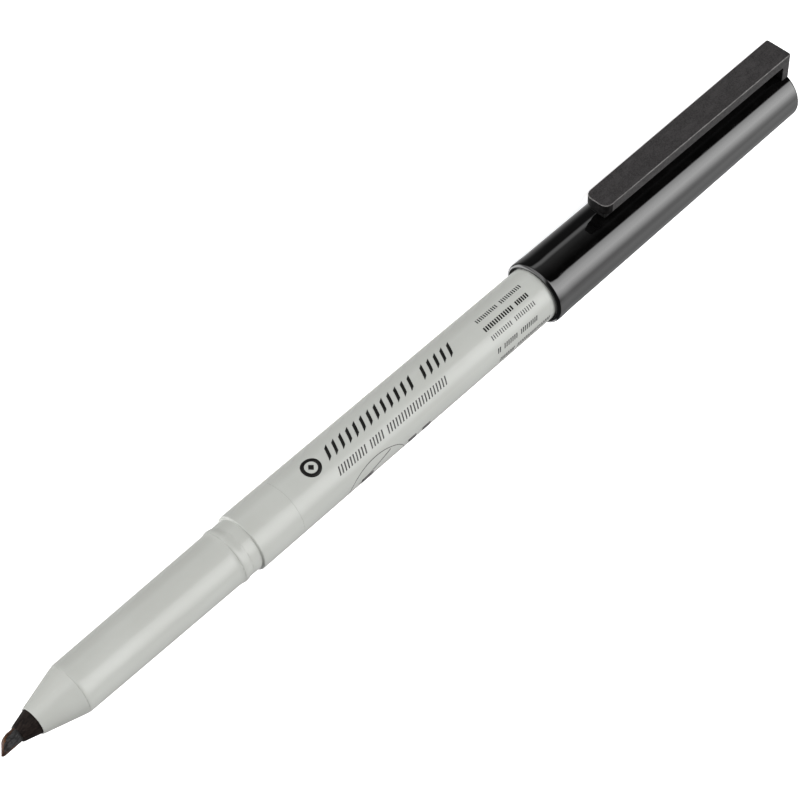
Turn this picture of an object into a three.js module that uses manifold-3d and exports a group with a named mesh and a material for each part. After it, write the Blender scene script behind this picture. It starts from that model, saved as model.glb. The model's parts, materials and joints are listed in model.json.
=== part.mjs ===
// Calligraphy marker, uncapped, with its cap posted on the tail of the barrel.
// Millimetres, +Z up. The pen lies along X with its nib toward +X. It has rolled over until the edge of
// its pocket clip touches the surface, which is how a round pen with a clip comes to rest.
// Each piece is made with stations along +X from the nib tip and the clip on +Z. The last group rolls
// the pen to rest and moves it to its origin, the bottom centre of the bounding box.
import * as THREE from 'three';
import { mergeVertices } from 'three/addons/utils/BufferGeometryUtils.js';
import Module from 'manifold-3d';

const wasm = await Module();
wasm.setup();

// ---- driving dimensions ----
const FACETS = 32;            // flats round a turned piece, with one facing straight down
const PRESS_GAP = 0.05;       // radial gap at the nib and its holder
const FIT_GAP = 0.1;          // gap between the other pieces that are pushed together
const CLIP_GAP = 0.3;         // gap under the clip's foot, which the clip needs to flex

const PEN_LENGTH = 165.2;     // nib tip to closed end of the posted cap
const NIB_ROLL = 29;          // degrees the chisel is turned about the pen, away from level

const NIB = { radius: 1.1, end: 34, wedgeLength: 3.1, edgeHalf: 0.2, edgeSide: 0.83, cheekX: 0.9,
  heelX: 1.35, heelSide: 0.6, shoulderX: 2.4, shoulderSide: 0.9, sideX: 2.9 };
const HOLDER = { front: 3.6, frontRadius: 1.3, rear: 6.3, rearRadius: 2.04, end: 17 };
const GRIP = { front: 6.3, frontRadius: 2.22, coneEnd: 12.7, coneRadius: 3.96, shoulderX: 13.3,
  radius: 4.1, ridgeStart: 41.6, rearRadius: 4.32, ridgeRadius: 4.55, ridgeX: 42.5, ridgeEnd: 43.4,
  grooveRadius: 4.34, grooveStart: 43.9, grooveEnd: 45.3, boreRadius: 3.2, boreStart: 18,
  throatEnd: 17 };
const COLLAR = { front: 45.45, chamfer: 0.15, radius: 4.73, end: 53.4, endRadius: 4.7 };
const SPIGOT = { radius: 3.83, end: 61.5 };
const BARREL = { frontRadius: 4.7, mouthRadius: 4.53, end: 127.5, tailRadius: 4.45, tailEdge: 0.6,
  boreFront: 3.95, boreRear: 3.8, wall: 1.6 };
const RESERVOIR = { front: 26, end: 118, radius: 2.72, socketRadius: 1.3, socketEnd: 34.5 };
const SLEEVE = { inner: 2.82, outer: 3.0 };
const CAP = { mouth: 107, lipRadius: 4.8, beadRadius: 5.4, beadEnd: 108.5,
  neckX: 110.2, neckRadius: 5.33, endRadius: 5.04, endEdge: 0.4, boreMouth: 4.64, boreEnd: 4.38,
  bevelX: 107.5, bevelRadius: 4.72, endWall: 1.8 };
const LINER = { mouth: 142.6, inner: 3.4, outer: 4.22, wall: 1.0, lip: 0.4 };
const CLIP = { tip: 121, top: 9.35, thickness: 1.8, leg: 1.7, tipHalfWidth: 2.2, rootHalfWidth: 2.4,
  tipCorner: 1.5 };
const NUB = { inset: 0.5, bottom: 5.85, nose: 0.8, length: 2.7, ramp: 2.8, halfWidth: 1.3 };

const CURVE_STEPS = 5;        // straight pieces in each curved corner of an outline
const BEAD_STEPS = 4;         // straight pieces in the bead's quarter round
const EDGE_STEPS = 3;         // straight pieces in the closed end's quarter round
const MERGE_DISTANCE = 1e-5;  // vertices closer than this are one vertex
const OVERSHOOT = 1;          // how far a cutting shape runs past what it cuts

// ---- how the pen rests ----

// At its root, the clip's top edge stands off the pen's axis by edgeReach, at edgeAngle to the middle of
// the clip. The pen is rolled until that edge is as low as the bead.
const edgeReach = Math.hypot(CLIP.top, CLIP.rootHalfWidth);
const edgeAngle = Math.atan2(CLIP.rootHalfWidth, CLIP.top);
const REST_ROLL = Math.PI - Math.acos(CAP.beadRadius / edgeReach) - edgeAngle;
const clipReach = edgeReach * Math.sin(REST_ROLL - edgeAngle);

// ---- shared geometry ----

// Point of a profile: station along the pen and radius. Flats stand at the stated radius.
const ACROSS_FLATS = Math.cos(Math.PI / FACETS);
function at(station, radius) {
  return new THREE.Vector2(radius / ACROSS_FLATS, station);
}

// Points of an arc in a profile, from angle a to angle b in degrees, 0 pointing outward.
function arc(station, radius, size, a, b, steps) {
  const points = [];
  for (let i = 0; i <= steps; i += 1) {
    const angle = THREE.MathUtils.degToRad(a + ((b - a) * i) / steps);
    points.push(at(station + size * Math.sin(angle), radius + size * Math.cos(angle)));
  }
  return points;
}

// Solid turned about the pen's axis. Its profile runs outside from front to rear. It starts at an
// angle that leaves one flat facing straight down once the pen is rolled to rest.
function turned(profile) {
  const halfFlat = Math.PI / FACETS;
  const geometry = new THREE.LatheGeometry(profile, FACETS, REST_ROLL + halfFlat, Math.PI * 2);
  geometry.rotateZ(-Math.PI / 2);
  return geometry;
}

// A tube's profile closes on itself, back at its first point.
function closed(profile) {
  return [...profile, profile[0].clone()];
}

// Flat outline in X and Y, thickened both ways along Z.
function plate(shape, halfThickness) {
  const geometry = new THREE.ExtrudeGeometry(shape, {
    depth: halfThickness * 2, bevelEnabled: false, curveSegments: CURVE_STEPS,
  });
  geometry.translate(0, 0, -halfThickness);
  return geometry;
}

function toSolid(geometry) {
  const bare = geometry.index ? geometry.toNonIndexed() : geometry.clone();
  bare.deleteAttribute('normal');
  bare.deleteAttribute('uv');
  const merged = mergeVertices(bare, MERGE_DISTANCE);
  return new wasm.Manifold(new wasm.Mesh({
    numProp: 3,
    vertProperties: new Float32Array(merged.attributes.position.array),
    triVerts: new Uint32Array(merged.index.array),
  }));
}

function toGeometry(solid) {
  const mesh = solid.getMesh();
  const geometry = new THREE.BufferGeometry();
  geometry.setAttribute('position', new THREE.BufferAttribute(mesh.vertProperties, 3));
  geometry.setIndex(new THREE.BufferAttribute(mesh.triVerts, 1));
  geometry.computeVertexNormals();
  return geometry;
}

function part(name, geometry, color, roughness) {
  const material = new THREE.MeshStandardMaterial({ color, roughness, metalness: 0 });
  const mesh = new THREE.Mesh(geometry, material);
  mesh.name = name;
  return mesh;
}

// ---- writing end ----

// Rod cut to a chisel: two flats meet at a thin writing edge, and the edge is slanted.
function chiselNib() {
  const rod = turned([at(0, 0), at(0, NIB.radius), at(NIB.end, NIB.radius), at(NIB.end, 0)]);

  const wide = NIB.radius + OVERSHOOT;
  const rear = NIB.end + OVERSHOOT;

  const side = new THREE.Shape();
  side.moveTo(0, -NIB.edgeHalf);
  side.lineTo(NIB.wedgeLength, -wide);
  side.lineTo(rear, -wide);
  side.lineTo(rear, wide);
  side.lineTo(NIB.wedgeLength, wide);
  side.lineTo(0, NIB.edgeHalf);
  const wedge = plate(side, wide).rotateX(Math.PI / 2);

  const plan = new THREE.Shape();
  plan.moveTo(0, -NIB.edgeSide);
  plan.quadraticCurveTo(NIB.cheekX / 3, -NIB.radius, NIB.cheekX, -wide);
  plan.lineTo(rear, -wide);
  plan.lineTo(rear, wide);
  plan.lineTo(NIB.sideX, wide);
  plan.quadraticCurveTo(NIB.shoulderX, NIB.shoulderSide, NIB.heelX, NIB.heelSide);
  const slant = plate(plan, wide);

  const solid = toSolid(rod).intersect(toSolid(wedge)).intersect(toSolid(slant));
  const nib = part('chisel_nib', toGeometry(solid), 0x2a1f1b, 0.85);
  nib.rotation.x = THREE.MathUtils.degToRad(NIB_ROLL);
  return nib;
}

function nibHolder() {
  const bore = NIB.radius + PRESS_GAP;
  return part('nib_holder', turned(closed([
    at(HOLDER.front, bore),
    at(HOLDER.front, HOLDER.frontRadius),
    at(HOLDER.rear, HOLDER.rearRadius),
    at(HOLDER.end, HOLDER.rearRadius),
    at(HOLDER.end, bore),
  ])), 0x1b1b1d, 0.45);
}

function gripSection() {
  const throat = HOLDER.rearRadius + PRESS_GAP;
  return part('grip_section', turned(closed([
    at(GRIP.front, throat),
    at(GRIP.front, GRIP.frontRadius),
    at(GRIP.coneEnd, GRIP.coneRadius),
    at(GRIP.shoulderX, GRIP.radius),
    at(GRIP.ridgeStart, GRIP.rearRadius),
    at(GRIP.ridgeX, GRIP.ridgeRadius),
    at(GRIP.ridgeEnd, GRIP.rearRadius),
    at(GRIP.grooveStart, GRIP.grooveRadius),
    at(GRIP.grooveEnd, GRIP.grooveRadius),
    at(COLLAR.front, COLLAR.radius - COLLAR.chamfer),
    at(COLLAR.front + COLLAR.chamfer, COLLAR.radius),
    at(COLLAR.end, COLLAR.endRadius),
    at(COLLAR.end, SPIGOT.radius),
    at(SPIGOT.end, SPIGOT.radius),
    at(SPIGOT.end, GRIP.boreRadius),
    at(GRIP.boreStart, GRIP.boreRadius),
    at(GRIP.throatEnd, throat),
  ])), 0xbcc0b9, 0.4);
}

// ---- body and ink ----

function barrel() {
  const front = COLLAR.end + FIT_GAP;
  const floor = BARREL.end - BARREL.wall;
  return part('barrel', turned([
    at(floor, 0),
    at(floor, BARREL.boreRear),
    at(front, BARREL.boreFront),
    at(front, BARREL.frontRadius),
    at(CAP.mouth, BARREL.mouthRadius),
    at(BARREL.end - BARREL.tailEdge, BARREL.tailRadius),
    at(BARREL.end, BARREL.tailRadius - BARREL.tailEdge),
    at(BARREL.end, 0),
  ]), 0xbfc3bc, 0.32);
}

function inkReservoir() {
  return part('ink_reservoir', turned([
    at(RESERVOIR.socketEnd, 0),
    at(RESERVOIR.socketEnd, RESERVOIR.socketRadius),
    at(RESERVOIR.front, RESERVOIR.socketRadius),
    at(RESERVOIR.front, RESERVOIR.radius),
    at(RESERVOIR.end, RESERVOIR.radius),
    at(RESERVOIR.end, 0),
  ]), 0x17161a, 0.95);
}

function reservoirSleeve() {
  return part('reservoir_sleeve', turned(closed([
    at(RESERVOIR.front, SLEEVE.inner),
    at(RESERVOIR.front, SLEEVE.outer),
    at(RESERVOIR.end, SLEEVE.outer),
    at(RESERVOIR.end, SLEEVE.inner),
  ])), 0xd8dadb, 0.25);
}

// ---- cap ----

function capOutside() {
  const beadSize = CAP.beadRadius - CAP.lipRadius;
  return [
    ...arc(CAP.mouth + beadSize, CAP.lipRadius, beadSize, -90, 0, BEAD_STEPS),
    at(CAP.beadEnd, CAP.beadRadius),
    at(CAP.neckX, CAP.neckRadius),
    ...arc(PEN_LENGTH - CAP.endEdge, CAP.endRadius - CAP.endEdge, CAP.endEdge, 0, 90, EDGE_STEPS),
  ];
}

function capShell() {
  const floor = PEN_LENGTH - CAP.endWall;
  return part('cap_shell', turned([
    at(floor, 0),
    at(floor, CAP.boreEnd),
    at(CAP.bevelX, CAP.boreMouth),
    at(CAP.mouth, CAP.bevelRadius),
    ...capOutside(),
    at(PEN_LENGTH, 0),
  ]), 0x0d0d0f, 0.14);
}

function innerCap() {
  const end = PEN_LENGTH - CAP.endWall - FIT_GAP;
  const floor = end - LINER.wall;
  return part('inner_cap', turned([
    at(floor, 0),
    at(floor, LINER.inner),
    at(LINER.mouth + LINER.lip, LINER.inner),
    at(LINER.mouth, LINER.inner + LINER.lip),
    at(LINER.mouth, LINER.outer),
    at(end, LINER.outer),
    at(end, 0),
  ]), 0xc9cbc8, 0.5);
}

const clipUnderside = CLIP.top - CLIP.thickness;

// Side outlines of the clip in station and height: its arm and leg, then the nub under its free end.
function armSide() {
  const legFront = PEN_LENGTH - CLIP.leg;
  const shape = new THREE.Shape();
  shape.moveTo(CLIP.tip, CLIP.top);
  shape.lineTo(CLIP.tip, clipUnderside);
  shape.lineTo(legFront, clipUnderside);
  shape.lineTo(legFront, 0);
  shape.lineTo(PEN_LENGTH, 0);
  shape.lineTo(PEN_LENGTH, CLIP.top);
  return shape;
}

function nubSide() {
  const front = CLIP.tip + NUB.inset;
  const end = front + NUB.length;
  const inArm = clipUnderside + CLIP.thickness / 2;
  const shape = new THREE.Shape();
  shape.moveTo(front, inArm);
  shape.lineTo(front, NUB.bottom + NUB.nose);
  shape.quadraticCurveTo(front, NUB.bottom, front + NUB.nose, NUB.bottom);
  shape.lineTo(end, NUB.bottom);
  shape.lineTo(end + NUB.ramp, clipUnderside);
  shape.lineTo(end + NUB.ramp, inArm);
  return shape;
}

// Outline of the clip from above, in station and side.
function clipPlan() {
  const corner = CLIP.tip + CLIP.tipCorner;
  const flat = CLIP.tipHalfWidth - CLIP.tipCorner;
  const shape = new THREE.Shape();
  shape.moveTo(PEN_LENGTH, -CLIP.rootHalfWidth);
  shape.lineTo(PEN_LENGTH, CLIP.rootHalfWidth);
  shape.lineTo(corner, CLIP.tipHalfWidth);
  shape.quadraticCurveTo(CLIP.tip, CLIP.tipHalfWidth, CLIP.tip, flat);
  shape.lineTo(CLIP.tip, -flat);
  shape.quadraticCurveTo(CLIP.tip, -CLIP.tipHalfWidth, corner, -CLIP.tipHalfWidth);
  return shape;
}

// The foot is cut by a cylinder round the cap, so that it follows the cap with an even gap.
function clip() {
  const clearance = CAP.endRadius + CLIP_GAP;
  const front = PEN_LENGTH - CLIP.leg - OVERSHOOT;
  const rear = PEN_LENGTH + OVERSHOOT;
  const round = turned([at(front, 0), at(front, clearance), at(rear, clearance), at(rear, 0)]);
  const side = plate(armSide(), CLIP.tipHalfWidth + OVERSHOOT).rotateX(Math.PI / 2);
  const plan = plate(clipPlan(), CLIP.top + OVERSHOOT);
  const nub = plate(nubSide(), NUB.halfWidth).rotateX(Math.PI / 2);
  const arm = toSolid(side).intersect(toSolid(plan)).subtract(toSolid(round));
  const solid = arm.add(toSolid(nub));
  return part('clip', toGeometry(solid), 0x232325, 0.55);
}

// ---- assembly ----

const marker = new THREE.Group();
marker.rotation.set(REST_ROLL, 0, Math.PI);
marker.position.set(PEN_LENGTH / 2, (clipReach - CAP.beadRadius) / 2, CAP.beadRadius);

const pen = new THREE.Group();
pen.add(chiselNib(), nibHolder(), gripSection(), barrel(), inkReservoir(), reservoirSleeve());

const cap = new THREE.Group();
cap.add(capShell(), innerCap(), clip());

marker.add(pen, cap);

export default marker;
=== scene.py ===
"""Looks of the calligraphy marker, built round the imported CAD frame. Blender 4.5.

Every piece is made in pen coordinates, in millimetres: stations run along +X from the nib's tip to the closed
end of the posted cap, and the clip stands on +Z. place() turns a finished piece into the frame's metres.
"""
import json
import math

import bmesh
import bpy
from mathutils import Matrix, Vector, noise


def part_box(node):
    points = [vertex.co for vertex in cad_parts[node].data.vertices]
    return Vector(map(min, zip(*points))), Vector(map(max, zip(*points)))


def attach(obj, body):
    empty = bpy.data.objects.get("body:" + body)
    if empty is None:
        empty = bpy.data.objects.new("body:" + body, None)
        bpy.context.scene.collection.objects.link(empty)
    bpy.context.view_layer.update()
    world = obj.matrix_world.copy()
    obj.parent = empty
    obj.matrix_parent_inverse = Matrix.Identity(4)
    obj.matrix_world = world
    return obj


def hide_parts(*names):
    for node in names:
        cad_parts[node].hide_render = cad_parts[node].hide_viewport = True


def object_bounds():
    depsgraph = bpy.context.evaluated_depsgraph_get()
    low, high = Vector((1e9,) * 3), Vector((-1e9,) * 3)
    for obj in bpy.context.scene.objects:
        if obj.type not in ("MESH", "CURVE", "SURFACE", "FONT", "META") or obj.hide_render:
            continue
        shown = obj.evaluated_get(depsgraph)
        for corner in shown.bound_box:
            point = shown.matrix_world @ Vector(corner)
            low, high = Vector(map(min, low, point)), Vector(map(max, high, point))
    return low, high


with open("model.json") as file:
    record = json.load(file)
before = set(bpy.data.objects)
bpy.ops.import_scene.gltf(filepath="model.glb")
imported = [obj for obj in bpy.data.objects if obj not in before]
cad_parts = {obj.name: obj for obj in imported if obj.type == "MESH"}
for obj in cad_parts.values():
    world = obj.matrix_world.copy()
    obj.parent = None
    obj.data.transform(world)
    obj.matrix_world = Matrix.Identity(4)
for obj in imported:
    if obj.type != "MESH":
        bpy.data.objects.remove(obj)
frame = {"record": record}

CAD_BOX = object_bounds()

# ---- sizes, in millimetres ----

MM = 0.001
PEN_LENGTH = 165.2
NIB_ROLL = 29.0  # degrees the chisel is turned about the pen
VIEW_TURN = 29.0  # degrees from the clip round to the side that faces the camera

NIB = dict(radius=1.1, end=34.0, edge_half=0.2, wedge_slope=0.613, long_side=-0.83, cheek=0.45,
           heel=1.35, heel_side=0.6, shoulder=2.6, worn_tip=1.3, worn_end=4.6, uncut=1.05, least_reach=0.03)
NIB_FLATS = 96  # flats round the nib
NIB_FRONT = dict(start=0.02, length=3.98, rings=60, spread=1.3)
NIB_REAR = [4.6, 6.0, 10.0, 18.0, 26.0, NIB["end"] - 0.1, NIB["end"]]
NIB_SQUARENESS = 2 / 7  # 1 is an oval section, 0 is a box
WEAR = dict(slant_start=-0.05, slant_span=0.6, back_start=0.80, back_span=0.15, back_share=0.75)
RIDGES = dict(along=0.6, across=9, depth=0.012)
PITS = dict(fine=7, shift=20, depth=0.010)
HOLDER = dict(front=3.6, front_radius=1.3, rear=6.3, rear_radius=2.04, end=17.0, bore=1.15)
GRIP = dict(front=6.3, front_radius=2.22, cone_end=12.7, cone_radius=3.96, shoulder=13.3, radius=4.1,
            ridge_start=41.6, rear_radius=4.32, ridge=42.5, ridge_radius=4.55, ridge_end=43.4,
            groove_start=43.9, groove_end=45.4, groove_radius=4.34, bore=3.2, bore_start=18.0,
            throat=2.09, throat_end=17.0)
COLLAR = dict(front=45.45, chamfer=0.09, radius=4.73, end=53.4, end_radius=4.7)
SPIGOT = dict(radius=3.83, end=61.5)
BARREL = dict(front=53.412, front_radius=4.7, mouth_radius=4.53, end=127.5, tail_radius=4.45, tail_edge=0.6,
              bore_front=3.95, bore_rear=3.8, wall=1.6)
RESERVOIR = dict(front=26.0, end=118.0, radius=2.7, socket_radius=1.3, socket_end=34.5, rings=40)
STRANDS = dict(count=36, height=0.02, wander=0.4, pace=0.35)
SLEEVE = dict(inner=2.82, outer=3.0)
CAP = dict(mouth=107.0, lip_radius=4.8, bead_radius=5.4, bead_end=108.5, neck=110.2, neck_radius=5.33,
           end_radius=5.04, end_edge=0.4, bore_mouth=4.64, bore_end=4.38, bevel=107.5, bevel_radius=4.72,
           bevel_inset=0.01, end_wall=1.8)
LINER = dict(mouth=142.6, inner=3.4, outer=4.22, wall=1.0, lip=0.4, gap=0.1)
CLIP = dict(tip=121.0, top=9.35, thickness=1.8, leg=1.7, tip_half=2.2, root_half=2.4, tip_corner=1.5,
            root_corner=0.35, fillet=0.45, gap=0.06, edge=0.12)
NUB = dict(inset=0.5, bottom=5.85, nose=0.8, length=2.7, ramp=2.8, ease=0.4, half=1.3)

CLIP_SHARP = math.radians(32)  # edges of the clip that turn more than this are rounded
EDGE_STEPS = 3  # straight pieces in a rounded edge of the clip
FACE_WEIGHT = 90  # how much the clip's large faces lead its shading
OVERCUT = 1.0  # how far a cutting solid passes the solid that it cuts
LEVEL = 0.001  # heights closer than this count as the same
SEGMENTS = 144  # flats round a turned piece
CORNER_STEPS = 5  # straight pieces in a rounded corner
CORNER_SHARE = 0.45  # most of a side that a rounded corner may take up
SUPPORT = 1.12  # where the support point beside a corner stands, in lengths of the rounding
ARC_STEPS = 8  # straight pieces in a quarter round
ON_AXIS = 1e-6  # a smaller radius than this is on the axis

# ---- placing ----

def pen_matrix():
    """Pen coordinates in millimetres to the frame's metres."""
    low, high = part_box("cap_shell")
    centre = (low + high) / 2
    mount = next(m for m in frame["record"]["mounts"] if m["name"] == "clip_top_face")
    along = Vector((-1, 0, 0))
    outward = Vector(mount["axis"]).normalized()
    side = outward.cross(along)
    turn = Matrix((along, side, outward)).transposed().to_4x4()
    origin = Vector((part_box("chisel_nib")[1].x, centre.y, centre.z))
    return Matrix.Translation(origin) @ turn @ Matrix.Scale(MM, 4)


PEN = pen_matrix()


def mesh_of(bm, name):
    """Mesh of a shape, which is then freed."""
    mesh = bpy.data.meshes.new(name)
    bm.to_mesh(mesh)
    bm.free()
    return mesh


def linked(name, data):
    """Object in the scene."""
    item = bpy.data.objects.new(name, data)
    bpy.context.scene.collection.objects.link(item)
    return item


def place(mesh, name):
    """Moves a mesh from pen coordinates into the frame, as a smooth-shaded object."""
    mesh.transform(PEN)
    mesh.shade_smooth()
    return linked(name, mesh)


def finish_mesh(bm, name):
    """The object of a finished shape, placed in the frame."""
    bmesh.ops.recalc_face_normals(bm, faces=bm.faces)
    return place(mesh_of(bm, name), name)


def dress(piece, materials, body, slot, *nodes):
    """Gives a piece its materials and its body, and hides the CAD nodes that it stands for. slot is not used.
    """
    for material in materials:
        piece.data.materials.append(material)
    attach(piece, body)
    if nodes:
        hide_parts(*nodes)


# ---- turned pieces ----

def corner(station, radius, soft=0.0):
    """A profile point. soft is how far its rounding reaches along both sides."""
    return Vector((station, radius)), soft


def quarter(station, radius, size, start, stop):
    """Profile points on an arc round a centre. 0 degrees points outward, 90 toward the cap's end."""
    points = []
    for i in range(ARC_STEPS + 1):
        angle = math.radians(start + (stop - start) * i / ARC_STEPS)
        points.append(corner(station + size * math.sin(angle), radius + size * math.cos(angle)))
    return points


def rounded(points, closed):
    """Profile with its soft corners rounded, and a support point just outside each rounding."""
    count = len(points)
    result = []
    for i, (point, soft) in enumerate(points):
        inner = closed or 0 < i < count - 1
        if not inner or soft <= 0:
            result.append(point)
            continue
        back = points[i - 1][0] - point
        ahead = points[(i + 1) % count][0] - point
        reach = min(soft, CORNER_SHARE * back.length, CORNER_SHARE * ahead.length)
        start = point + back.normalized() * reach
        stop = point + ahead.normalized() * reach
        result.append(point + back.normalized() * reach * SUPPORT)
        for k in range(CORNER_STEPS + 1):
            t = k / CORNER_STEPS
            result.append(start * (1 - t) ** 2 + point * 2 * t * (1 - t) + stop * t ** 2)
        result.append(point + ahead.normalized() * reach * SUPPORT)
    return result


def ring_at(bm, station, radius, wobble=None):
    """Ring of vertices round the pen's axis."""
    ring = []
    for k in range(SEGMENTS):
        angle = 2 * math.pi * k / SEGMENTS
        r = radius + (wobble(station, angle) if wobble else 0)
        ring.append(bm.verts.new((station, r * math.sin(angle), r * math.cos(angle))))
    return ring


def turned(name, points, closed=False, wobble=None):
    """Piece turned about the pen's axis. A profile that isn't closed starts and ends on the axis."""
    bm = bmesh.new()
    rings = []
    for point in rounded(points, closed):
        station, radius = point
        if radius < ON_AXIS:
            rings.append([bm.verts.new((station, 0, 0))])
        else:
            rings.append(ring_at(bm, station, radius, wobble))
    pairs = list(zip(rings, rings[1:]))
    if closed:
        pairs.append((rings[-1], rings[0]))
    for a, b in pairs:
        join_rings(bm, a, b)
    return finish_mesh(bm, name)


def join_rings(bm, a, b):
    """Faces between two rings of vertices. Either may be a single vertex."""
    count = max(len(a), len(b))
    for k in range(count):
        corners = [a[k % len(a)], a[(k + 1) % len(a)], b[(k + 1) % len(b)], b[k % len(b)]]
        face = list(dict.fromkeys(corners))
        if len(face) > 2:
            bm.faces.new(face)


# ---- solids cut from outlines ----

def prism(outline, depth_axis, half):
    """Temporary solid: an outline in X and Z deepened along Y, or in X and Y deepened along Z."""
    bm = bmesh.new()
    for x, v in outline:
        bm.verts.new((x, -half, v) if depth_axis == "Y" else (x, v, -half))
    face = bm.faces.new(bm.verts)
    grown = bmesh.ops.extrude_face_region(bm, geom=[face])
    moved = [v for v in grown["geom"] if isinstance(v, bmesh.types.BMVert)]
    shift = (0, 2 * half, 0) if depth_axis == "Y" else (0, 0, 2 * half)
    bmesh.ops.translate(bm, verts=moved, vec=shift)
    bmesh.ops.recalc_face_normals(bm, faces=bm.faces)
    return temporary(bm)


def cylinder_along_pen(start, stop, radius):
    """Temporary solid round the pen's axis."""
    bm = bmesh.new()
    rings = [ring_at(bm, station, radius) for station in (start, stop)]
    join_rings(bm, *rings)
    for ring in rings:
        bm.faces.new(ring)
    bmesh.ops.recalc_face_normals(bm, faces=bm.faces)
    return temporary(bm)


def temporary(bm):
    """Object in pen coordinates that is removed once it has been used."""
    return linked("temporary", mesh_of(bm, "temporary"))


def cut(solid, tool, operation):
    """Adds a union, difference or intersection with the tool."""
    modifier = solid.modifiers.new("cut", "BOOLEAN")
    modifier.operation = operation
    modifier.solver = "EXACT"
    modifier.object = tool


def applied(solid, tools):
    """Mesh of a temporary solid with its modifiers applied. The temporary objects are removed."""
    bpy.context.view_layer.update()
    depsgraph = bpy.context.evaluated_depsgraph_get()
    mesh = bpy.data.meshes.new_from_object(solid.evaluated_get(depsgraph))
    for item in [solid, *tools]:
        bpy.data.objects.remove(item)
    return mesh


def bend(a, control, b):
    """Points from a to b on a curve drawn toward control."""
    a, control, b = Vector(a), Vector(control), Vector(b)
    points = []
    for k in range(CORNER_STEPS + 1):
        t = k / CORNER_STEPS
        points.append(a * (1 - t) ** 2 + control * 2 * t * (1 - t) + b * t ** 2)
    return points


# ---- writing end ----

def nib_limits(station):
    """Lowest and highest point across the nib's wide direction, and half its thickness."""
    low = -NIB["radius"]
    if station < NIB["cheek"]:
        t = station / NIB["cheek"]
        low = NIB["long_side"] + (low - NIB["long_side"]) * (1 - (1 - t) ** 2)
    if station < NIB["heel"]:
        high = NIB["long_side"] + (NIB["heel_side"] - NIB["long_side"]) * station / NIB["heel"]
    elif station < NIB["shoulder"]:
        t = (station - NIB["heel"]) / (NIB["shoulder"] - NIB["heel"])
        high = NIB["heel_side"] + (NIB["radius"] - NIB["heel_side"]) * (1 - (1 - t) ** 2)
    else:
        high = NIB["radius"]
    half = min(NIB["edge_half"] + NIB["wedge_slope"] * station, NIB["radius"] * NIB["uncut"])
    return low, high, half


def nib_wear(station, across):
    """How worn the fibre is: fully at the tip and on the slanted side, less on the side behind it."""
    w = WEAR
    tip = 1 - station / NIB["worn_tip"]
    behind = 1 - (station - NIB["heel"]) / (NIB["worn_end"] - NIB["heel"])
    fade = min(1.0, max(behind, 0.0))
    slanted = fade * (across - w["slant_start"]) / w["slant_span"]
    back = w["back_share"] * (-across - w["back_start"]) / w["back_span"] * fade
    return min(1.0, max(tip, slanted, back))


def fibre_shrink(station, y, z):
    """How far the ridges and pits of the fibre draw its surface in, as a factor of its reach."""
    r, p = RIDGES, PITS
    ridge = noise.noise(Vector((station * r["along"], y * r["across"], z * r["across"])))
    pit = noise.noise(Vector((station * p["fine"], y * p["fine"] + p["shift"], z * p["fine"])))
    return 1 - r["depth"] * (0.5 + 0.5 * ridge) - p["depth"] * max(pit, 0)


def nib_ring(station):
    """Section of the nib, a box with round corners kept inside the rod, and how worn each point is."""
    low, high, half = nib_limits(station)
    middle, reach = (low + high) / 2, max((high - low) / 2, NIB["least_reach"])
    limit = NIB["radius"]
    ring = []
    for k in range(NIB_FLATS):
        angle = 2 * math.pi * k / NIB_FLATS
        c, s = math.cos(angle), math.sin(angle)
        worn = max(nib_wear(station, c), 0.0)
        y = middle + reach * math.copysign(abs(c) ** NIB_SQUARENESS, c)
        z = half * math.copysign(abs(s) ** NIB_SQUARENESS, s)
        size = math.hypot(y, z)
        if size > limit:
            y, z = y * limit / size, z * limit / size
        shrink = fibre_shrink(station, y, z)
        ring.append((Vector((station, middle + (y - middle) * shrink, z * shrink)), worn))
    return ring


def nib_stations():
    """Where the nib's sections stand: close together at its tip."""
    f = NIB_FRONT
    front = [f["start"] + f["length"] * (k / f["rings"]) ** f["spread"] for k in range(f["rings"] + 1)]
    return front + NIB_REAR


def chisel_nib():
    """Pressed fibre rod cut to a slanted chisel, with fibre ridges along it."""
    turn = Matrix.Rotation(math.radians(NIB_ROLL), 4, "X")
    bm = bmesh.new()
    wear = bm.verts.layers.float.new("worn")
    rings = []
    for station in nib_stations():
        ring = []
        for point, worn in nib_ring(station):
            vertex = bm.verts.new(turn @ point)
            vertex[wear] = worn
            ring.append(vertex)
        rings.append(ring)
    for a, b in zip(rings, rings[1:]):
        join_rings(bm, a, b)
    for ring in (rings[0], rings[-1]):
        centre = bm.verts.new(sum((v.co for v in ring), Vector()) / NIB_FLATS)
        centre[wear] = ring[0][wear]
        join_rings(bm, ring, [centre])
    return finish_mesh(bm, "nib_chisel")


def nib_holder():
    return turned("nib_cone", [
        corner(HOLDER["front"], HOLDER["bore"], soft=0.06),
        corner(HOLDER["front"], HOLDER["front_radius"], soft=0.09),
        corner(HOLDER["rear"], HOLDER["rear_radius"], soft=0.12),
        corner(HOLDER["end"], HOLDER["rear_radius"], soft=0.12),
        corner(HOLDER["end"], HOLDER["bore"], soft=0.12),
    ], closed=True)


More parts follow.
